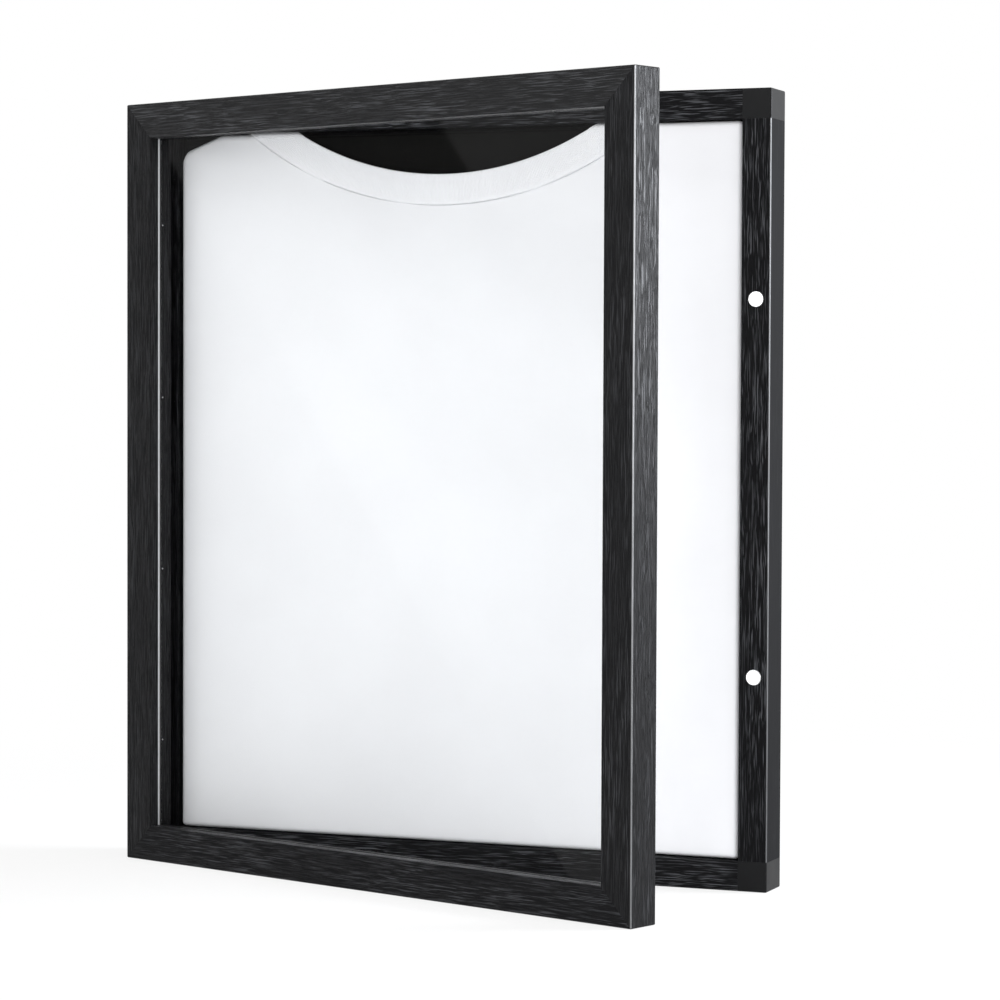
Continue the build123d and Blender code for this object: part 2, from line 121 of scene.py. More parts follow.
# the stage
FLOOR_GAP = 0.0002  # between the object and the floor
FLOOR_REACH = 9.0  # half the floor's side
SHEET_OUT = 0.016  # the sheet's plane, in front of the hinge pin
CARD_AWAY = 1.5  # from the sheet to the card that it mirrors
CARD_REACH = 0.42  # half the side of the square on the sheet's plane that the card covers
BAND_EDGES = ((1.0, -0.025, 0.0012), (-0.85, 0.125, 0.03), (0.85, 0.278, 0.0012))
BAND_SLANT = 0.785
KEY_PLACE, KEY_SIZE = (-0.7, -3.0, 0.45), (2.6, 2.0)
FLOOR_LAMP_PLACE, FLOOR_LAMP_SIZE = (-0.6, -1.7, 1.6), (1.6, 1.0)
RIM_PLACE, RIM_SIZE = (1.75, 0.66, 0.54), (0.8, 0.9)
RIM_TINT = (0.92, 0.95, 1.0)


# ---- what a user may change ----
def colour(name, description, default):
    """A colour property with three channels."""
    return FloatVectorProperty(
        name=name, description=description, default=default, subtype="COLOR", size=3, min=0, max=1
    )


def length(name, description, default):
    """A distance property, in metres."""
    return FloatProperty(
        name=name, description=description, default=default, unit="LENGTH", min=0, precision=5
    )


def watts(name, description, default):
    """A lamp's power property, in watts."""
    return FloatProperty(name=name, description=description, default=default, unit="POWER", min=0)


def angled(name, description, degrees):
    """An angle property, given in degrees."""
    return FloatProperty(name=name, description=description, default=math.radians(degrees), unit="ROTATION")


class JDF_FinishSettings(bpy.types.PropertyGroup):
    """Colours of the case, the door and their fittings."""

    foil: colour("Foil", "Ground colour of the wood-grain foil", (0.0020, 0.0021, 0.0029))
    # the streak colour is a painted highlight on the raised grain
    streak_highlight: colour("Foil streak", "Colour of the raised grain", (0.034, 0.035, 0.038))
    corner: colour("Corner block", "Colour of the smooth corner blocks", (0.0045, 0.0047, 0.0052))
    bead: colour("Bead", "Colour of the glazing beads", (0.003, 0.003, 0.0035))
    seal: colour("Seal", "Colour of the foam strip in front of the sheet", (0.66, 0.67, 0.68))
    board: colour("Board", "Colour of the board behind the shirt", (0.0040, 0.0039, 0.0037))
    steel: colour("Steel", "Colour of plated steel", (0.62, 0.62, 0.64))
    nickel: colour("Nickel", "Colour of the magnets' plating", (0.93, 0.93, 0.94))
    grain_pitch: length("Grain pitch", "Distance from one raised streak to the next", 0.0008)
    grain_length: length("Grain length", "Length of a raised streak", 0.026)
    grain_relief: length("Grain relief", "Height of the raised grain", 0.0004)


class JDF_ShirtSettings(bpy.types.PropertyGroup):
    """Sizes and colour of the shirt."""

    cloth: colour("Cloth", "Colour of the jersey", (0.91, 0.91, 0.93))
    thickness: length("Cloth thickness", "Thickness of one layer of jersey", 0.0008)
    edge_radius: length("Edge radius", "How tightly the cloth turns over the board's edge", 0.0036)
    tuck: length("Tuck", "How far the cloth runs back past the edge", 0.0058)
    pillow: length("Pillow", "How far the face falls away towards its edges", 0.0011)
    neck_radius: length("Neck radius", "Radius of the neckline", 0.2437)
    neck_band: length("Neck band", "Width of the ribbed collar", 0.0235)
    neck_drop: length("Neck drop", "How far the neckline hangs below the opening's top", 0.0363)
    neck_x: FloatProperty(
        name="Neck offset", description="The collar's middle, off the centre line", default=-0.0064,
        unit="LENGTH",
    )
    rib_pitch: length("Rib pitch", "Distance from one rib of the collar to the next", 0.00135)
    rib_height: length("Rib height", "Height of a rib", 0.00024)
    shoulder_run: length("Shoulder run", "Width of the left shoulder's slope", 0.037)


class JDF_StageSettings(bpy.types.PropertyGroup):
    """Light and camera."""

    key_power: watts("Key", "Power of the front lamp", 37.0)
    floor_power: watts("Floor", "Power of the lamp that lights the floor in front", 8.0)
    rim_power: watts("Rim", "Power of the lamp at the right", 72.0)
    sky: FloatProperty(name="Sky", description="Strength of the even light", default=0.70, min=0)
    glare: FloatProperty(
        name="Glare", description="Brightness of the bands mirrored in the sheet", default=0.14, min=0
    )
    lens: FloatProperty(name="Lens", description="Focal length", default=117.07, unit="CAMERA", min=1)
    turn: angled("Turn", "How far the camera is turned to the left", 22.101)
    fall: angled("Fall", "How far the camera looks down", 1.952)
    tilt: angled("Tilt", "Turn about the line of sight", 0.218)
    place: FloatVectorProperty(
        name="Camera place", description="Where the camera stands", default=(0.99953, -2.38859, 0.07687),
        subtype="TRANSLATION", unit="LENGTH", size=3,
    )


# ---- shader helpers ----
class Shader:
    """A new material's node tree, with short ways to add nodes and join them."""

    def __init__(self, name):
        self.material = bpy.data.materials.new(name)
        self.material.use_nodes = True
        self.tree = self.material.node_tree
        self.tree.nodes.clear()
        self.output = self.tree.nodes.new("ShaderNodeOutputMaterial")
        self.object_coords = self.add("ShaderNodeTexCoord").outputs["Object"]

    def add(self, kind, inputs=None, **settings):
        """A node with its settings, and its inputs set to values or joined to sockets."""
        made = self.tree.nodes.new(kind)
        for key, value in settings.items():
            setattr(made, key, value)
        for key, value in (inputs or {}).items():
            if isinstance(value, bpy.types.NodeSocket):
                self.tree.links.new(value, made.inputs[key])
            else:
                made.inputs[key].default_value = value
        return made

    def moved(self, vector, rotation=(0, 0, 0), scale=(1, 1, 1), shift=(0, 0, 0)):
        """The vector turned, scaled and moved."""
        inputs = {"Vector": vector, "Rotation": rotation, "Scale": scale, "Location": shift}
        return self.add("ShaderNodeMapping", inputs).outputs[0]

    def noise(self, vector, scale, detail=2.0, roughness=0.5, distortion=0.0):
        """The value of a noise, from 0 to 1."""
        inputs = {
            "Vector": vector, "Scale": scale, "Detail": detail, "Roughness": roughness,
            "Distortion": distortion,
        }
        return self.add("ShaderNodeTexNoise", inputs).outputs["Fac"]

    def maths(self, operation, a, b=0.0, c=0.0):
        """A Math node's value."""
        return self.add("ShaderNodeMath", {0: a, 1: b, 2: c}, operation=operation).outputs[0]

    def ramp(self, value, low, high, out_low=0.0, out_high=1.0):
        """The value taken smoothly from one range to another, and held at its ends."""
        inputs = {"Value": value, "From Min": low, "From Max": high, "To Min": out_low, "To Max": out_high}
        return self.add("ShaderNodeMapRange", inputs, interpolation_type="SMOOTHSTEP").outputs[0]

    def mixed(self, share, a, b):
        """A colour between a and b."""
        a = a if isinstance(a, bpy.types.NodeSocket) else (*a, 1.0)
        b = b if isinstance(b, bpy.types.NodeSocket) else (*b, 1.0)
        node = self.add("ShaderNodeMix", {0: share}, data_type="RGBA")
        for socket, value in ((node.inputs[6], a), (node.inputs[7], b)):
            if isinstance(value, bpy.types.NodeSocket):
                self.tree.links.new(value, socket)
            else:
                socket.default_value = value
        return node.outputs[2]

    def bump(self, height, distance, strength):
        """A normal pushed by a height."""
        inputs = {"Height": height, "Distance": distance, "Strength": strength}
        return self.add("ShaderNodeBump", inputs).outputs[0]

    def surface(self, inputs):
        """Ends the tree in a Principled shader, and returns the material."""
        shader = self.add("ShaderNodeBsdfPrincipled", inputs)
        self.tree.links.new(shader.outputs[0], self.output.inputs["Surface"])
        return self.material


def dress(material, *names):
    """Gives CAD nodes a material. Their meshes stay as they are."""
    for name in names:
        mesh = NODES[name].data
        mesh.materials.clear()
        mesh.materials.append(material)


# ---- finishes ----
def closed_place(s, on_door):
    """The place on a piece with the door shut: a door's place is turned back about the hinge pin."""
    if not on_door:
        return s.object_coords
    pin = Vector((PIN.x, PIN.y, 0))
    shift = pin - Matrix.Rotation(DOOR_AJAR, 3, "Z") @ pin
    return s.moved(s.object_coords, rotation=(0, 0, DOOR_AJAR), shift=shift)


def oak_foil(name, along, on_door, shift, lift, gloss, arris=0.0):
    """Black foil embossed with oak grain: noise drawn out along the rail, bent by a slower noise.

    The case's outer sides are smooth. The streaks carry painted highlights, lighter or darker for each rail
    by lift, and a painted highlight, stronger towards the top, can run along the rounded arris at the right.
    """
    finish = bpy.context.scene.jdf_finish
    s = Shader(name)
    x, y, z = s.add("ShaderNodeSeparateXYZ", {0: closed_place(s, on_door)}).outputs
    long, wide, edge = (x, z, CAD_BOX[1].z) if along == "X" else (z, x, CAD_BOX[1].x)
    place = s.add("ShaderNodeCombineXYZ", {0: long, 1: wide, 2: y}).outputs[0]
    base = s.moved(place, shift=shift)
    bend = s.noise(s.moved(base, scale=(24, 95, 95)), 1.0, 2.0)
    parts = s.add("ShaderNodeSeparateXYZ", {0: base}).outputs
    sway = s.maths("MULTIPLY", bend, 0.0034)
    across = s.maths("ADD", parts["Y"], sway)
    depth = s.maths("ADD", parts["Z"], sway)
    bent = s.add("ShaderNodeCombineXYZ", {0: parts["X"], 1: across, 2: depth}).outputs[0]
    fine = 1 / finish.grain_pitch
    streak = s.noise(s.moved(bent, scale=(1 / finish.grain_length, fine, fine)), 1.0, 2.0, 0.5)
    thread = s.noise(s.moved(bent, scale=(60, 2.4 * fine, 2.4 * fine)), 1.0, 2.0, 0.6)
    patch = s.noise(s.moved(base, scale=(9, 60, 60)), 1.0, 2.0)
    ridge = s.ramp(streak, 0.42, 0.60)
    glint = s.maths("MULTIPLY", s.ramp(streak, 0.51, 0.66), s.ramp(patch, 0.35, 0.62, 0.3, 1.0))
    height = s.maths("ADD", s.maths("MULTIPLY", ridge, 0.8), s.maths("MULTIPLY", thread, 0.2))
    if not on_door:
        inside = s.ramp(s.maths("ABSOLUTE", wide), edge - 0.0006, edge - 0.0003, 1.0, 0.06)
        glint = s.maths("MULTIPLY", glint, inside)
        height = s.maths("MULTIPLY", height, inside)
    # painted highlight: the streaks on the raised grain are coloured lighter, by lift for each rail, to
    # follow how light falls on that rail
    tint = s.mixed(glint, tuple(finish.foil), tuple(min(1.0, c * lift) for c in finish.streak_highlight))
    if arris:
        front = DOOR_FRONT if on_door else CASE_FRONT
        from_side = s.maths("SUBTRACT", wide, edge)
        from_front = s.maths("SUBTRACT", y, front)
        squared = s.maths("MULTIPLY_ADD", from_side, from_side, s.maths("MULTIPLY", from_front, from_front))
        off = s.maths("SQRT", squared)
        # painted highlight: a pale band along the rounded arris at the right, paler towards the top where the
        # light falls, mixed into the colour
        arris_band = s.ramp(off, ARRIS_CORE, ARRIS_RADIUS, 1.0, 0.0)
        painted_arris_highlight = s.maths("MULTIPLY", arris_band, s.ramp(z, -0.30, 0.25, 0.35, 1.0))
        tint = s.mixed(s.maths("MULTIPLY", painted_arris_highlight, arris), tint, (0.9, 0.91, 0.93))
    gloss_share = s.maths("ADD", s.maths("MULTIPLY", ridge, 0.7), s.maths("MULTIPLY", patch, 0.3))
    rough = s.ramp(gloss_share, 0, 1, 0.52, 0.34)
    if not on_door:
        rough = s.maths("MAXIMUM", rough, s.maths("MULTIPLY_ADD", inside, -0.75, 0.8))
    return s.surface({
        "Base Color": tint, "Roughness": rough, "Specular IOR Level": gloss,
        "Normal": s.bump(height, finish.grain_relief, 1.0),
    })


def smooth_plastic(name, tint, roughness, relief):
    """Moulded plastic: a fine pebble and slow changes of gloss."""
    s = Shader(name)
    pebble = s.noise(s.object_coords, 2600.0, 3.0, 0.6)
    slow = s.noise(s.object_coords, 38.0, 3.0)
    lighter = tuple(min(1.0, c * 1.45) for c in tint)
    return s.surface({
        "Base Color": s.mixed(s.ramp(slow, 0.3, 0.7), tuple(tint), lighter),
        "Roughness": s.ramp(slow, 0.25, 0.75, roughness - 0.05, roughness + 0.06),
        "Specular IOR Level": 0.13,
        "Normal": s.bump(pebble, relief, 0.5),
    })


def foam(tint):
    """Closed-cell foam: small round cells with darker gaps, pale down the sides and black along the rails."""
    s = Shader("seal_foam")
    x, y, z = s.add("ShaderNodeSeparateXYZ", {0: closed_place(s, True)}).outputs
    beside = s.maths("SUBTRACT", s.maths("ABSOLUTE", z), s.maths("ABSOLUTE", x))
    corner = CAD_BOX[1].z - CAD_BOX[1].x
    level = s.ramp(beside, corner - MM, corner + MM)
    cells = s.add("ShaderNodeTexVoronoi", {"Vector": s.object_coords, "Scale": 1900.0}).outputs["Distance"]
    darker = tuple(c * 0.72 for c in tint)
    pale = s.mixed(s.ramp(cells, 0.15, 0.75), tuple(tint), darker)
    return s.surface({
        "Base Color": s.mixed(level, pale, (0.008, 0.008, 0.009)),
        "Roughness": s.ramp(cells, 0.0, 0.8, 0.72, 0.92),
        "Normal": s.bump(s.maths("SUBTRACT", 1.0, cells), 0.00012, 0.6),
    })


def clear_sheet():
    """Clear acrylic: what is behind it shows through, with a mirror and faint wiping marks.

    Nothing bends in it, so the front face carries the mirror of both faces, and the back face is left plain.
    """
    s = Shader("clear_acrylic")
    wipe = s.noise(s.moved(s.object_coords, rotation=(0, 0.6, 0), scale=(3, 1, 40)), 1.0, 4.0, 0.6)
    through = s.add("ShaderNodeBsdfTransparent", {"Color": (0.988, 0.992, 0.992, 1)})
    mirror = s.add("ShaderNodeBsdfGlossy", {
        "Color": (1, 1, 1, 1), "Roughness": s.ramp(wipe, 0.3, 0.8, 0.012, 0.035),
    })
    one_face = s.add("ShaderNodeFresnel", {"IOR": SHEET_INDEX}).outputs[0]
    back = s.add("ShaderNodeNewGeometry").outputs["Backfacing"]
    share = s.maths("MULTIPLY", s.maths("MULTIPLY", one_face, BOTH_FACES), s.maths("SUBTRACT", 1.0, back))
    mix = s.add("ShaderNodeMixShader", {0: share, 1: through.outputs[0], 2: mirror.outputs[0]})
    s.tree.links.new(mix.outputs[0], s.output.inputs["Surface"])
    return s.material


def metal(name, tint, roughness, brush, dirt=0.35):
    """Plated metal: fine brushing along Z, and a slow stain in its gloss and colour."""
    s = Shader(name)
    lines = s.noise(s.moved(s.object_coords, scale=(2400, 2400, brush)), 1.0, 3.0, 0.6)
    stain = s.noise(s.object_coords, 160.0, 4.0, 0.6)
    darker = tuple(c * (1 - dirt) for c in tint)
    return s.surface({
        "Base Color": s.mixed(s.ramp(stain, 0.45, 0.8), tuple(tint), darker),
        "Metallic": 1.0,
        "Roughness": s.ramp(lines, 0.25, 0.75, roughness, roughness + 0.14),
        "Normal": s.bump(lines, 0.00002, 0.4),
    })


def painted_steel():
    """Black paint on steel: orange-peel, worn lighter where the noise is high."""
    s = Shader("hinge_steel")
    peel = s.noise(s.object_coords, 900.0, 2.0)
    wear = s.ramp(s.noise(s.object_coords, 240.0, 5.0, 0.7), 0.62, 0.74)
    return s.surface({
        "Base Color": s.mixed(wear, (0.016, 0.016, 0.017), (0.10, 0.10, 0.105)),
        "Roughness": s.ramp(peel, 0.3, 0.7, 0.32, 0.48),
        "Normal": s.bump(peel, 0.00004, 0.5),
    })


def paper_board(tint):
    """Black paper on foam board: short fibres and a faint cloud."""
    s = Shader("black_board")
    fibre = s.noise(s.moved(s.object_coords, scale=(1400, 1400, 420)), 1.0, 4.0, 0.65)
    cloud = s.noise(s.object_coords, 22.0, 3.0)
    lighter = tuple(c * 1.9 for c in tint)
    share = s.maths("MULTIPLY", s.ramp(fibre, 0.45, 0.75), s.ramp(cloud, 0.3, 0.7, 0.4, 1.0))
    return s.surface({
        "Base Color": s.mixed(share, tuple(tint), lighter), "Roughness": s.ramp(fibre, 0.3, 0.7, 0.82, 0.95),
        "Specular IOR Level": 0.06, "Normal": s.bump(fibre, 0.00003, 0.5),
    })


def felt():
    """Black felt: a tangle of short hairs over soft lumps."""
    s = Shader("black_lining")
    hairs = s.noise(s.object_coords, 2200.0, 5.0, 0.75, 1.5)
    lumps = s.noise(s.object_coords, 120.0, 3.0)
    height = s.maths("ADD", s.maths("MULTIPLY", hairs, 0.5), s.maths("MULTIPLY", lumps, 0.5))
    return s.surface({
        "Base Color": s.mixed(s.ramp(hairs, 0.35, 0.75), (0.008, 0.008, 0.009), (0.03, 0.03, 0.032)),
        "Roughness": 0.95, "Sheen Weight": 0.25, "Sheen Roughness": 0.5,
        "Normal": s.bump(height, 0.0004, 0.8),
    })


def hardboard():
    """Hardboard painted black: a pressed mesh on its back, with fibres in it."""
    s = Shader("hardboard_back")
    parts = s.add("ShaderNodeSeparateXYZ", {0: s.object_coords}).outputs
    warp = s.maths("SINE", s.maths("MULTIPLY", parts["X"], 2600.0))
    weft = s.maths("SINE", s.maths("MULTIPLY", parts["Z"], 2600.0))
    mesh = s.maths("MULTIPLY", warp, weft)
    fibre = s.noise(s.object_coords, 420.0, 5.0, 0.7, 0.8)
    height = s.maths("ADD", s.maths("MULTIPLY", mesh, 0.3), fibre)
    return s.surface({
        "Base Color": s.mixed(s.ramp(fibre, 0.35, 0.72), (0.011, 0.010, 0.0095), (0.034, 0.030, 0.026)),
        "Roughness": s.ramp(fibre, 0.3, 0.7, 0.6, 0.85), "Normal": s.bump(height, 0.0002, 0.7),
    })


def jersey(name, tint, wale, course, relief):
    """Knitted cotton on the piece's own UV map, in metres: columns of V stitches, fluff and a slow shade."""
    s = Shader(name)
    uv = s.add("ShaderNodeUVMap", uv_map="Cloth").outputs[0]
    parts = s.add("ShaderNodeSeparateXYZ", {0: uv}).outputs
    column = s.maths("MULTIPLY", parts["X"], math.tau / wale)
    leg = s.maths("MULTIPLY", s.maths("SINE", column), 0.7)
    row = s.maths("SINE", s.maths("ADD", s.maths("MULTIPLY", parts["Y"], math.tau / course), leg))
    half_column = s.maths("COSINE", s.maths("MULTIPLY", column, 0.5))
    stitch = s.maths("MULTIPLY", s.maths("ABSOLUTE", half_column), row)
    fluff = s.noise(uv, 900.0, 4.0, 0.7)
    slow = s.noise(uv, 9.0, 3.0)
    height = s.maths("ADD", s.maths("MULTIPLY", stitch, 0.5), s.maths("MULTIPLY", fluff, 0.6))
    shade = tuple(c * 0.965 for c in tint)
    return s.surface({
        "Base Color": s.mixed(s.ramp(slow, 0.3, 0.7), shade, tuple(tint)),
        "Roughness": s.ramp(fluff, 0.2, 0.8, 0.84, 0.96), "Specular IOR Level": 0.2,
        "Sheen Weight": 0.08, "Sheen Roughness": 0.4, "Normal": s.bump(height, relief, 0.5),
    })


# ---- surfaces ----
def grid_faces(rows, columns):
    """The four corners of each cell of a grid, as one array."""
    index = np.arange(rows * columns).reshape(rows, columns)
    corners = (index[:-1, :-1], index[:-1, 1:], index[1:, 1:], index[1:, :-1])
    return np.stack(corners, axis=-1).reshape(-1, 4)


def mesh_object(name, points, faces, uv=None):
    """A smooth mesh object at the origin, with a UV map in metres where one is given."""
    mesh = bpy.data.meshes.new(name)
    mesh.from_pydata(points.reshape(-1, 3), [], faces)
    mesh.polygons.foreach_set("use_smooth", np.ones(len(faces), bool))
    if uv is not None:
        layer = mesh.uv_layers.new(name="Cloth")
        corners = np.empty(len(mesh.loops), np.int32)
        mesh.loops.foreach_get("vertex_index", corners)
        layer.data.foreach_set("uv", uv.reshape(-1, 2)[corners].astype(np.float32).ravel())
    mesh.update()
    piece = bpy.data.objects.new(name, mesh)
    bpy.context.scene.collection.objects.link(piece)
    return piece


def graded(half, edge, step, fine):
    """Places from -half to half, step apart in the middle and fine apart over the last stretch each way."""
    inner = np.linspace(0, half - edge, max(2, round((half - edge) / step)) + 1)
    outer = np.linspace(half - edge, half, max(2, round(edge / fine)) + 1)[1:]
    side = np.concatenate([inner, outer])
    return np.concatenate([-side[:0:-1], side])


class Drape:
    """The cloth stretched over its board, as a map from the flat cloth to space.

    A flat point past the board's straight part rolls over the edge: it goes round a quarter circle and then
    straight back. The face falls away a little towards the edges, and has slow waves and a few small creases.
    """

    def __init__(self, shirt):
        self.front = SHIRT_LOW.y + FACE_SET_BACK
        self.radius = shirt.edge_radius
        self.reach = self.radius * math.pi / 2 + shirt.tuck
        self.half_x = SHIRT_HIGH.x - SIDE_SET_IN
        self.half_z = SHIRT_HIGH.z - END_SET_IN
        self.core_x = self.half_x - self.radius
        self.core_z = self.half_z - self.radius
        self.pillow = shirt.pillow
        self.run = shirt.shoulder_run

    def shoulder(self, x):
        """How far the cloth's top is lowered at x: a slope at the left that steepens close to the side."""
        slope = np.maximum(0, -(self.half_x - self.run) - x)
        knee = np.maximum(0, -(self.half_x - KNEE_WIDTH) - x)
        return SHOULDER_SLOPE * slope * slope / (slope + SHOULDER_EASE) + KNEE_SLOPE * knee

    def waves(self, x, z):
        """Slow waves across the face, and three creases, as a height towards the viewer."""
        slow = 0.22 * np.sin(11 * x + 7 * z + 0.6) + 0.16 * np.sin(17 * x - 9 * z + 2.1)
        slow += 0.10 * np.sin(31 * z + 5 * x) * np.exp(-((x + 0.19) / 0.05) ** 2)
        crease = 0.0
        for x0, x1, z0, z1, width, height in CREASES:
            dx, dz = x1 - x0, z1 - z0
            t = np.clip(((x - x0) * dx + (z - z0) * dz) / (dx * dx + dz * dz), 0, 1)
            off = np.hypot(x - x0 - t * dx, z - z0 - t * dz)
            crease = crease + height * np.exp(-((off / width) ** 2)) * np.sin(np.pi * (0.1 + 0.8 * t))
        return MM * (slow + crease)

    def place(self, x, z, lift):
        """The point in space for a flat point, raised by lift from the cloth's middle."""
        drop = self.shoulder(x)
        over_x = np.maximum(np.abs(x) - self.core_x, 0)
        over_z = np.where(z > 0, z - (self.core_z - drop), -z - self.core_z)
        over_z = np.maximum(over_z, 0)
        span = np.maximum(np.hypot(over_x, over_z), 1e-9)
        over = np.maximum(over_x, over_z)
        turn = np.minimum(over / self.radius, math.pi / 2)
        out = (self.radius + lift) * np.sin(turn)
        tail = np.maximum(over - self.radius * math.pi / 2, 0)
        inset_z = np.where(z > 0, self.half_z - drop, self.half_z) - np.abs(z)
        inset = np.minimum(self.half_x - np.abs(x), inset_z)
        sag = self.pillow * np.exp(-np.maximum(inset, 0) / PILLOW_WIDTH)
        flat_x = np.clip(x, -self.core_x, self.core_x)
        flat_z = np.clip(z, -self.core_z, self.core_z - drop)
        face = self.front + sag - self.waves(flat_x, flat_z) * np.cos(turn)
        depth = face + self.radius * (1 - np.cos(turn)) + tail - lift * np.cos(turn)
        px = flat_x + np.sign(x) * over_x / span * out
        pz = flat_z + np.sign(z) * over_z / span * out
        return np.stack([px, depth, pz], axis=-1)


def neck_centre(shirt):
    """The middle of the neckline's circle, as (x, z), in the flat cloth."""
    return shirt.neck_x, SHIRT_HIGH.z + 0.4 * MM - shirt.neck_drop + shirt.neck_radius


def make_front(drape, shirt):
    """The shirt's front, with a small welt along the collar's seam.

    f(u, v): u runs across the cloth, and v runs from its lower edge up to its upper edge or, under the neck,
    to the collar's seam.
    """
    step, fine, border = 0.0032, 0.0011, 0.006
    row_step, row_fine, row_border = 0.011, 0.0035, 0.052
    welt_height, welt_place, welt_width = 0.00025, 0.0016, 0.0012
    half = drape.core_x + drape.reach
    x = graded(half, drape.reach + border, step, fine)
    neck_x, neck_z = neck_centre(shirt)
    seam_radius = shirt.neck_radius + shirt.neck_band
    top = drape.core_z - drape.shoulder(x) + drape.reach
    inside = np.abs(x - neck_x) < seam_radius
    arc = neck_z - np.sqrt(np.maximum(seam_radius**2 - (x - neck_x) ** 2, 0))
    top = np.where(inside, np.minimum(top, arc), top)
    bottom = -(drape.core_z + drape.reach)
    share = graded(1.0, row_border, row_step, row_fine) / 2 + 0.5
    flat_x = np.broadcast_to(x, (len(share), len(x)))
    flat_z = bottom + share[:, None] * (top - bottom)[None, :]
    from_seam = np.hypot(flat_x - neck_x, flat_z - neck_z) - seam_radius
    welt = welt_height * np.exp(-(((from_seam - welt_place) / welt_width) ** 2))
    points = drape.place(flat_x, flat_z, welt)
    uv = np.stack([flat_x, flat_z], axis=-1)
    piece = mesh_object("shirt_front_cloth", points, grid_faces(*flat_x.shape), uv)
    thick = piece.modifiers.new("Thickness", "SOLIDIFY")
    thick.thickness = shirt.thickness
    thick.offset = -1.0
    columns = (top - bottom) * np.gradient(x)
    return piece, (2 * half, float(top.max() - bottom)), float(columns.sum())


def make_collar(drape, shirt):
    """The ribbed collar.

    f(u, v): a flattened loop, folded at the neckline, is carried along the neck's arc. v runs round the loop
    and u along the arc, and the ribs are a wave along u that fades out at the seam.
    """
    fold = 0.0009  # half the band's thickness
    lap = 0.0012  # how far the band goes on past the seam
    rows, steps_per_rib, past_edge = 15, 6, 0.012
    puff_height, sink_depth, raised = 0.0004, 0.0007, 0.0006
    pull_height, pull_angle, pull_width = 0.0007, -0.52, 0.05
    neck_x, neck_z = neck_centre(shirt)
    reach_z = drape.core_z + drape.reach
    middle = shirt.neck_radius + shirt.neck_band / 2
    swing = math.acos((neck_z - reach_z) / (shirt.neck_radius + shirt.neck_band)) + past_edge
    steps = round(2 * swing * middle / shirt.rib_pitch) * steps_per_rib
    angle = np.linspace(-swing, swing, steps + 1)
    across = np.linspace(fold, shirt.neck_band + lap, rows)
    bow = np.linspace(-np.pi / 2, np.pi / 2, 7)[1:-1]
    radial = np.concatenate([across[::-1], fold - fold * np.cos(bow[::-1]), across])
    height = np.concatenate([np.full(rows, fold), fold * np.sin(bow[::-1]), np.full(rows, -fold)])
    fade = np.clip((shirt.neck_band - radial) / 0.003, 0, 1)
    facing = np.where(height > -fold, 1.0, 0.0)
    swell = np.sin(np.pi * np.clip(radial / shirt.neck_band, 0, 1))
    puff = puff_height * swell * facing
    sink = -sink_depth * np.clip((radial - shirt.neck_band + lap) / (2 * lap), 0, 1) * facing
    ribs = shirt.rib_height * np.cos(2 * np.pi * angle * middle / shirt.rib_pitch)
    pull = pull_height * np.exp(-(((angle - pull_angle) / pull_width) ** 2)) * (facing * swell)[:, None]
    lift = (height + puff + sink)[:, None] + (fade * facing)[:, None] * ribs[None, :] + pull + raised
    radius = shirt.neck_radius + radial[:, None]
    flat_x = neck_x + radius * np.sin(angle)[None, :]
    flat_z = neck_z - radius * np.cos(angle)[None, :]
    points = drape.place(flat_x, flat_z, lift)
    along = np.broadcast_to(angle[None, :] * middle, flat_x.shape)
    uv = np.stack([along, np.broadcast_to(radius, flat_x.shape)], axis=-1)
    piece = mesh_object("shirt_collar_rib", points, grid_faces(*flat_x.shape), uv)
    close_loop(piece)
    return piece, (2 * swing * middle, shirt.neck_band)


def close_loop(piece):
    """Fills the open edge with triangles, and turns the faces outwards."""
    work = bmesh.new()
    work.from_mesh(piece.data)
    rim = [edge for edge in work.edges if edge.is_boundary]
    bmesh.ops.holes_fill(work, edges=rim, sides=0)
    bmesh.ops.triangulate(work, faces=[face for face in work.faces if len(face.verts) > 4])
    bmesh.ops.recalc_face_normals(work, faces=work.faces)
    work.to_mesh(piece.data)
    work.free()


def make_bundle():
    """The rest of the shirt behind the board: a rounded slab of folded layers.

    f(u, v): a rounded rectangle shrunk towards its rim, with a groove between one layer and the next.
    """
    middle = (BUNDLE_LOW + BUNDLE_HIGH) / 2
    half = (BUNDLE_HIGH - BUNDLE_LOW) / 2
    turn = np.linspace(0, 2 * np.pi, 161)[:-1]
    rise = np.linspace(-np.pi / 2, np.pi / 2, 25)
    squareness, rim_squareness, groove = 0.16, 0.12, 0.010
    side_room, face_room = 0.006, 0.0022  # left for the cloth to fill
    round_x = np.sign(np.cos(turn)) * np.abs(np.cos(turn)) ** squareness
    round_z = np.sign(np.sin(turn)) * np.abs(np.sin(turn)) ** squareness
    inner = np.abs(np.cos(rise)) ** rim_squareness * np.where(np.abs(rise) > 1.57, 0.0, 1.0)
    layer = groove * np.cos(6 * rise)
    flank = inner - layer * np.clip(inner, 0, 1)
    x = middle.x + (half.x - side_room) * flank[:, None] * round_x[None, :]
    z = middle.z + (half.z - side_room) * flank[:, None] * round_z[None, :]
    y = middle.y + (half.y - face_room) * np.sin(rise)[:, None] * np.ones_like(turn)[None, :]
    points = np.stack([x, y, z], axis=-1)
    ring = np.concatenate([points, points[:, :1]], axis=1)
    piece = mesh_object("shirt_folded_bundle", ring, grid_faces(len(rise), len(turn) + 1))
    work = bmesh.new()
    work.from_mesh(piece.data)
    bmesh.ops.remove_doubles(work, verts=work.verts, dist=1e-5)
    bmesh.ops.recalc_face_normals(work, faces=work.faces)
    work.to_mesh(piece.data)
    work.free()
    return piece


def baked(piece):
    """Applies a piece's modifiers to its mesh."""
    graph = bpy.context.evaluated_depsgraph_get()
    mesh = bpy.data.meshes.new_from_object(piece.evaluated_get(graph))
    piece.modifiers.clear()
    piece.data = mesh


def points_of(mesh):
    """A mesh's vertices as an array."""
    flat = np.empty(len(mesh.vertices) * 3)
    mesh.vertices.foreach_get("co", flat)
    return flat.reshape(-1, 3)


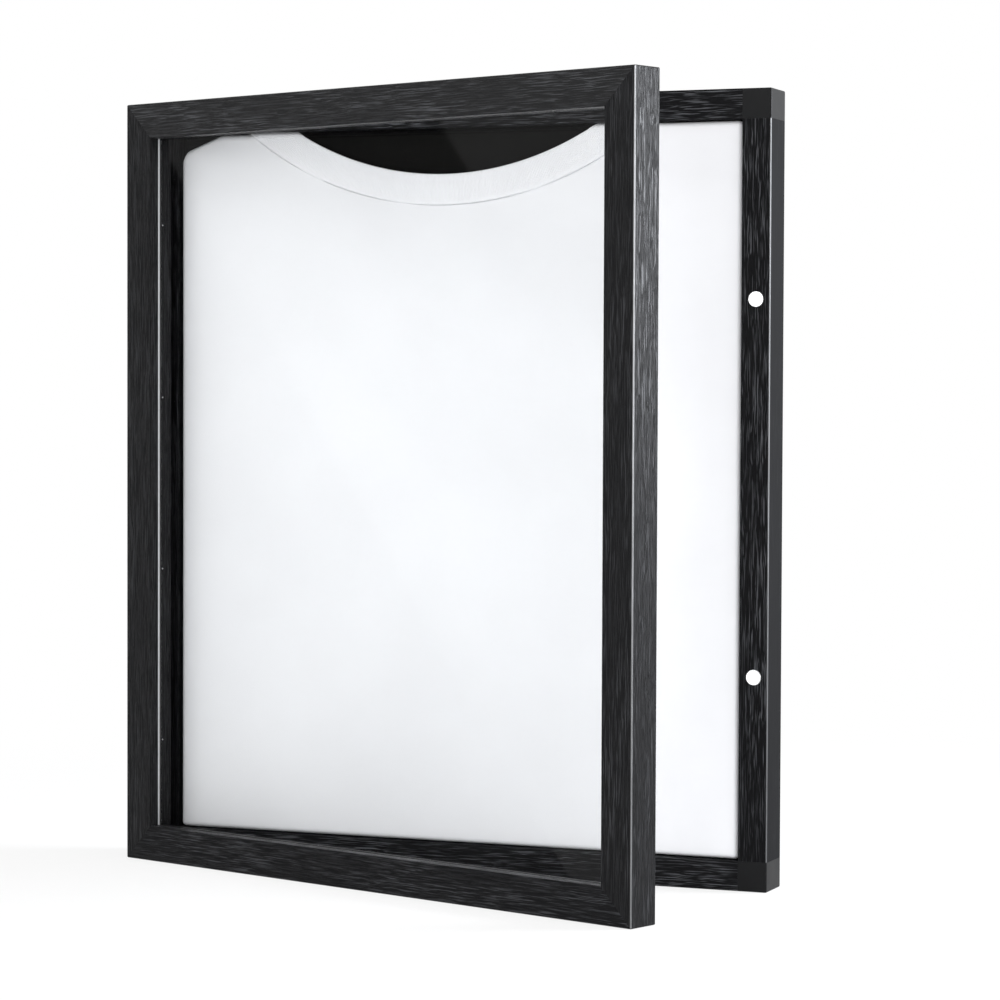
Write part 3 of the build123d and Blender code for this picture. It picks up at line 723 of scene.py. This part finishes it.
def fill_out(piece, low, high, cap):
    """Remeshes a piece evenly, blows it up as cloth under pressure, and keeps it within its space."""
    remesh = piece.modifiers.new("Even", "REMESH")
    remesh.mode = "VOXEL"
    remesh.voxel_size = BUNDLE_VOXEL
    baked(piece)
    before = points_of(piece.data)
    cloth = piece.modifiers.new("Cloth", "CLOTH")
    cloth.settings.quality = 5
    cloth.settings.use_pressure = True
    cloth.settings.uniform_pressure_force = BUNDLE_PRESSURE
    cloth.settings.effector_weights.gravity = 0.0
    cloth.collision_settings.use_collision = False
    for step in range(1, BUNDLE_FRAMES + 1):
        bpy.context.scene.frame_set(step)
    graph = bpy.context.evaluated_depsgraph_get()
    blown = points_of(piece.evaluated_get(graph).data)
    piece.modifiers.clear()
    bpy.context.scene.frame_set(1)
    move = np.clip(blown - before, -cap, cap)
    before = before + move
    tucks = 0.0011 * np.sin(before[:, 0] * 52 + 3 * np.sin(before[:, 2] * 21))
    before[:, 1] += tucks * np.cos(before[:, 2] * 17)
    limits = np.array(low) + BUNDLE_MARGIN, np.array(high) - BUNDLE_MARGIN
    inside = np.clip(before, *limits)
    piece.data.vertices.foreach_set("co", inside.astype(np.float32).ravel())
    smooth = piece.modifiers.new("Soften", "SMOOTH")
    smooth.factor = 0.5
    smooth.iterations = 3
    baked(piece)
    piece.data.polygons.foreach_set("use_smooth", np.ones(len(piece.data.polygons), bool))
    layer = piece.data.uv_layers.new(name="Cloth")
    corners = np.empty(len(piece.data.loops), np.int32)
    piece.data.loops.foreach_get("vertex_index", corners)
    flat = points_of(piece.data)[:, [0, 2]]
    layer.data.foreach_set("uv", flat[corners].astype(np.float32).ravel())
    piece.data.update()


def settle(piece, body, slot, material, *replaced):
    """A finished piece's material and body, and the CAD nodes that it stands for, which are hidden; slot is
    not used.
    """
    piece.data.materials.clear()
    piece.data.materials.append(material)
    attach(piece, body)
    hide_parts(*replaced)


# ---- operators ----
class JDF_OT_moulding(bpy.types.Operator):
    """Finish the rails and stiles in black oak-grain foil"""

    bl_idname = "jdf.moulding"
    bl_label = "Wood-grain moulding"

    def execute(self, context):
        # name, grain direction, on the door, lift (how light or dark each rail's painted streak highlights
        # are), gloss, and strength of the painted arris highlight
        rails = (
            ("case_rail_top", "X", False, 2.6, 0.10, 0.0),
            ("case_rail_bottom", "X", False, 2.6, 0.10, 0.0),
            ("case_rail_left", "Z", False, 0.8, 0.08, 0.0),
            ("case_rail_right", "Z", False, 2.0, 0.10, 0.32),
            ("door_rail_top", "X", True, 1.7, 0.26, 0.0),
            ("door_rail_bottom", "X", True, 1.4, 0.11, 0.0),
            ("door_stile_left", "Z", True, 0.8, 0.14, 0.0),
            ("door_stile_right", "Z", True, 1.1, 0.14, 0.6),
        )
        for i, (name, along, on_door, lift, gloss, arris) in enumerate(rails):
            shift = (0.31 * i, 0.17 * i + 0.1, 0.23 * i)
            dress(oak_foil(f"foil_{name}", along, on_door, shift, lift, gloss, arris), name)
        return {"FINISHED"}


class JDF_OT_plastics(bpy.types.Operator):
    """Finish the corner blocks and the glazing beads"""

    bl_idname = "jdf.plastics"
    bl_label = "Corner blocks and beads"

    def execute(self, context):
        finish = context.scene.jdf_finish
        corner = smooth_plastic("corner_plastic", finish.corner, 0.46, 0.00003)
        dress(corner, *[n for n in NODES if n.startswith("case_corner_")])
        bead = smooth_plastic("bead_plastic", finish.bead, 0.40, 0.00002)
        dress(bead, *[f"bead_{side}" for side in ("top", "bottom", "left", "right")])
        return {"FINISHED"}


class JDF_OT_glazing(bpy.types.Operator):
    """Finish the clear sheet and its foam seal"""

    bl_idname = "jdf.glazing"
    bl_label = "Sheet and seal"

    def execute(self, context):
        dress(clear_sheet(), "acrylic_sheet")
        dress(foam(context.scene.jdf_finish.seal), "glazing_seal")
        return {"FINISHED"}


class JDF_OT_metalwork(bpy.types.Operator):
    """Finish the magnets, hinges, hangers and fasteners"""

    bl_idname = "jdf.metalwork"
    bl_label = "Metalwork"

    def execute(self, context):
        finish = context.scene.jdf_finish
        dress(metal("plated_magnet", finish.nickel, 0.22, 300, 0.06), "case_magnets", "door_magnets")
        hinge = painted_steel()
        dress(hinge, *[n for n in NODES if n.startswith("hinge_")])
        dress(metal("hanger_steel", finish.steel, 0.28, 90), "keyhole_plates")
        small = metal("fastener_steel", finish.steel, 0.30, 900)
        dress(small, "back_panel_screws", "keyhole_screws", "bead_brads", "mitre_nails")
        return {"FINISHED"}


class JDF_OT_backing(bpy.types.Operator):
    """Finish the board, the lining and the back panel"""

    bl_idname = "jdf.backing"
    bl_label = "Board, lining and back"

    def execute(self, context):
        dress(paper_board(context.scene.jdf_finish.board), "display_board")
        dress(felt(), "backing_lining")
        dress(hardboard(), "back_panel")
        return {"FINISHED"}


class JDF_OT_shirt_front(bpy.types.Operator):
    """Make the shirt's front, stretched over the board"""

    bl_idname = "jdf.shirt_front"
    bl_label = "Shirt front"

    def execute(self, context):
        shirt = context.scene.jdf_shirt
        piece, flat, area = make_front(Drape(shirt), shirt)
        cloth = jersey("white_jersey_front", shirt.cloth, JERSEY_WALE, JERSEY_COURSE, 0.00009)
        settle(piece, "case", "white_jersey_knit", cloth, "shirt_front")
        return {"FINISHED"}


class JDF_OT_shirt_collar(bpy.types.Operator):
    """Make the ribbed collar"""

    bl_idname = "jdf.shirt_collar"
    bl_label = "Ribbed collar"

    def execute(self, context):
        shirt = context.scene.jdf_shirt
        piece, flat = make_collar(Drape(shirt), shirt)
        rib = jersey("white_rib", shirt.cloth, RIB_WALE, RIB_COURSE, 0.00008)
        settle(piece, "case", "white_rib_knit", rib, "shirt_collar")
        return {"FINISHED"}


class JDF_OT_shirt_bundle(bpy.types.Operator):
    """Make the rest of the shirt, folded behind the board"""

    bl_idname = "jdf.shirt_bundle"
    bl_label = "Folded shirt"

    def execute(self, context):
        shirt = context.scene.jdf_shirt
        piece = make_bundle()
        fill_out(piece, BUNDLE_LOW, BUNDLE_HIGH, BUNDLE_SWELL)
        cloth = jersey("white_jersey_bundle", shirt.cloth, JERSEY_WALE, JERSEY_COURSE, 0.00012)
        settle(piece, "case", "white_jersey_knit", cloth, "shirt_folded_back")
        return {"FINISHED"}


# ---- the stage ----
def aimed(place, target):
    """A matrix that stands at place and looks at target."""
    look = (Vector(target) - Vector(place)).to_track_quat("-Z", "Y")
    return Matrix.Translation(place) @ look.to_matrix().to_4x4()


def lamp(name, place, target, size, power, tint=(1, 1, 1)):
    """A rectangular soft lamp."""
    light = bpy.data.lights.new(name, "AREA")
    light.shape = "RECTANGLE"
    light.size, light.size_y = size
    light.energy = power
    light.color = tint
    made = bpy.data.objects.new(name, light)
    made.matrix_world = aimed(place, target)
    bpy.context.scene.collection.objects.link(made)


def seen_directly(s):
    """1 for rays from the camera, a mirror or glass, and 0 for the light that falls on things."""
    path = s.add("ShaderNodeLightPath").outputs
    seen = s.maths("MAXIMUM", path["Is Camera Ray"], path["Is Glossy Ray"])
    return s.maths("MAXIMUM", seen, path["Is Transmission Ray"])


def floor_finish():
    """A pale floor that shows white, and keeps a part of the object's shadow close to it."""
    s = Shader("pale_floor")
    from_middle = s.add("ShaderNodeVectorMath", {0: s.object_coords}, operation="LENGTH").outputs["Value"]
    grit = s.noise(s.object_coords, 60.0, 3.0)
    share = s.maths("MULTIPLY", seen_directly(s), s.ramp(from_middle, 0.45, 1.15, 0.80, 1.0))
    tint = s.mixed(grit, (0.86, 0.86, 0.86), (0.90, 0.90, 0.90))
    lit = s.add("ShaderNodeBsdfDiffuse", {"Color": tint})
    white = s.add("ShaderNodeEmission", {"Color": (1, 1, 1, 1), "Strength": 1.0})
    mix = s.add("ShaderNodeMixShader", {0: share, 1: lit.outputs[0], 2: white.outputs[0]})
    s.tree.links.new(mix.outputs[0], s.output.inputs["Surface"])
    return s.material


def glare_finish(brightness, edges, slant):
    """Dark and grey bands across the card that the sheet mirrors.

    An edge has the change of brightness there, its place across the sheet at mid-height, and its softness.
    slant is how far the edges lean to the left for each metre up.
    """
    s = Shader("glare_card")
    uv = s.add("ShaderNodeUVMap", uv_map="Cloth").outputs[0]
    parts = s.add("ShaderNodeSeparateXYZ", {0: uv}).outputs
    across = s.maths("MULTIPLY_ADD", parts["Y"], slant, parts["X"])
    level = 0.0
    for change, edge, soft in edges:
        step = s.ramp(across, edge - soft, edge + soft)
        level = s.maths("MULTIPLY_ADD", step, change, level)
    strength = s.maths("MULTIPLY", level, brightness)
    light = s.add("ShaderNodeEmission", {"Color": (1, 1, 1, 1), "Strength": strength})
    s.tree.links.new(light.outputs[0], s.output.inputs["Surface"])
    return s.material


def make_glare_card(stage, far, margin):
    """The card that the sheet mirrors to the camera.

    f(u, v): a point of the sheet, carried on by far from the camera's mirror image, so that the card's UV map
    is the sheet's own, in metres from its middle.
    """
    low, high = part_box("door_rail_top")
    width = math.hypot(high.x - low.x, high.y - low.y)
    face = Vector((-math.sin(DOOR_AJAR), -math.cos(DOOR_AJAR), 0))
    across = Vector((math.cos(DOOR_AJAR), -math.sin(DOOR_AJAR), 0))
    middle = PIN + across * (width / 2) + face * SHEET_OUT
    eye = Vector(stage.place)
    image = eye - 2 * (eye - middle).dot(face) * face
    u, v = np.meshgrid(np.linspace(-margin, margin, 9), np.linspace(-margin, margin, 9))
    sheet = np.array(middle) + u[..., None] * np.array(across) + v[..., None] * np.array((0, 0, 1))
    ray = sheet - np.array(image)
    points = sheet + ray * (far / abs((middle - image).dot(face)))
    return mesh_object("glare_card", points, grid_faces(*u.shape), np.stack([u, v], axis=-1))


class JDF_OT_stage(bpy.types.Operator):
    """Make the floor, the even light, the lamps and the camera"""

    bl_idname = "jdf.stage"
    bl_label = "Stage"

    def execute(self, context):
        scene = context.scene
        stage = scene.jdf_stage
        floor_z = CAD_BOX[0].z - FLOOR_GAP
        reach = FLOOR_REACH
        ring = ((-reach, -reach), (reach, -reach), (reach, reach), (-reach, reach))
        corners = np.array([(x, y, floor_z) for x, y in ring])
        floor = mesh_object("floor", corners, [(0, 1, 2, 3)])
        floor.data.materials.append(floor_finish())
        floor.visible_glossy = False

        world = bpy.data.worlds.new("even_light")
        world.use_nodes = True
        tree = world.node_tree
        tree.nodes.clear()
        path = tree.nodes.new("ShaderNodeLightPath").outputs
        strength = path["Is Camera Ray"]
        for ray in ("Is Glossy Ray", "Is Transmission Ray"):
            top = tree.nodes.new("ShaderNodeMath")
            top.operation = "MAXIMUM"
            tree.links.new(strength, top.inputs[0])
            tree.links.new(path[ray], top.inputs[1])
            strength = top.outputs[0]
        span = tree.nodes.new("ShaderNodeMapRange")
        span.inputs["To Min"].default_value = stage.sky
        span.inputs["To Max"].default_value = 1.0
        tree.links.new(strength, span.inputs["Value"])
        light = tree.nodes.new("ShaderNodeBackground")
        light.inputs["Color"].default_value = (1, 1, 1, 1)
        tree.links.new(span.outputs[0], light.inputs["Strength"])
        out = tree.nodes.new("ShaderNodeOutputWorld")
        tree.links.new(light.outputs[0], out.inputs["Surface"])
        scene.world = world

        floor_spot = (-0.25, -0.9, floor_z)
        lamp("key_lamp", KEY_PLACE, (0, 0, 0), KEY_SIZE, stage.key_power)
        lamp("floor_lamp", FLOOR_LAMP_PLACE, floor_spot, FLOOR_LAMP_SIZE, stage.floor_power)
        lamp("rim_lamp", RIM_PLACE, (0.23, -0.2, 0.1), RIM_SIZE, stage.rim_power, RIM_TINT)

        card = make_glare_card(stage, CARD_AWAY, CARD_REACH)
        card.data.materials.append(glare_finish(stage.glare, BAND_EDGES, BAND_SLANT))
        card.visible_camera = False
        card.visible_diffuse = False
        card.visible_shadow = False
        card.visible_transmission = False

        lens = bpy.data.cameras.new("camera")
        lens.lens = stage.lens
        lens.sensor_width = 36.0
        camera = bpy.data.objects.new("camera", lens)
        cos_fall = math.cos(stage.fall)
        level_right = Vector((math.cos(stage.turn), math.sin(stage.turn), 0))
        ahead_x = -math.sin(stage.turn) * cos_fall
        ahead_y = math.cos(stage.turn) * cos_fall
        ahead = Vector((ahead_x, ahead_y, -math.sin(stage.fall)))
        level_down = ahead.cross(level_right)
        right = math.cos(stage.tilt) * level_right - math.sin(stage.tilt) * level_down
        down = math.sin(stage.tilt) * level_right + math.cos(stage.tilt) * level_down
        axes = Matrix((right, -down, -ahead)).transposed()
        camera.matrix_world = Matrix.Translation(Vector(stage.place)) @ axes.to_4x4()
        scene.collection.objects.link(camera)
        scene.camera = camera
        scene.view_settings.view_transform = "Standard"
        return {"FINISHED"}


OPERATORS = (
    JDF_OT_moulding,
    JDF_OT_plastics,
    JDF_OT_glazing,
    JDF_OT_metalwork,
    JDF_OT_backing,
    JDF_OT_shirt_front,
    JDF_OT_shirt_collar,
    JDF_OT_shirt_bundle,
    JDF_OT_stage,
)


class JDF_PT_panel(bpy.types.Panel):
    """Lists the steps and the sizes and colours that they use"""

    bl_idname = "JDF_PT_panel"
    bl_label = "Display frame"
    bl_space_type = "VIEW_3D"
    bl_region_type = "UI"
    bl_category = "Display frame"

    def draw(self, context):
        for settings in (context.scene.jdf_finish, context.scene.jdf_shirt, context.scene.jdf_stage):
            box = self.layout.box()
            for name in settings.__annotations__:
                box.prop(settings, name)
        for operator in OPERATORS:
            self.layout.operator(operator.bl_idname)


SETTINGS = (
    ("jdf_finish", JDF_FinishSettings),
    ("jdf_shirt", JDF_ShirtSettings),
    ("jdf_stage", JDF_StageSettings),
)


def register():
    """Registers the settings, the operators and the panel."""
    for name, group in SETTINGS:
        bpy.utils.register_class(group)
        setattr(bpy.types.Scene, name, PointerProperty(type=group))
    for cls in (*OPERATORS, JDF_PT_panel):
        bpy.utils.register_class(cls)


def unregister():
    """Takes away what register() added."""
    for cls in (JDF_PT_panel, *reversed(OPERATORS)):
        bpy.utils.unregister_class(cls)
    for name, group in reversed(SETTINGS):
        delattr(bpy.types.Scene, name)
        bpy.utils.unregister_class(group)


def main():
    """Runs every step in order."""
    register()
    for operator in OPERATORS:
        group, step = operator.bl_idname.split(".")
        getattr(getattr(bpy.ops, group), step)()


if __name__ == "__main__":
    main()
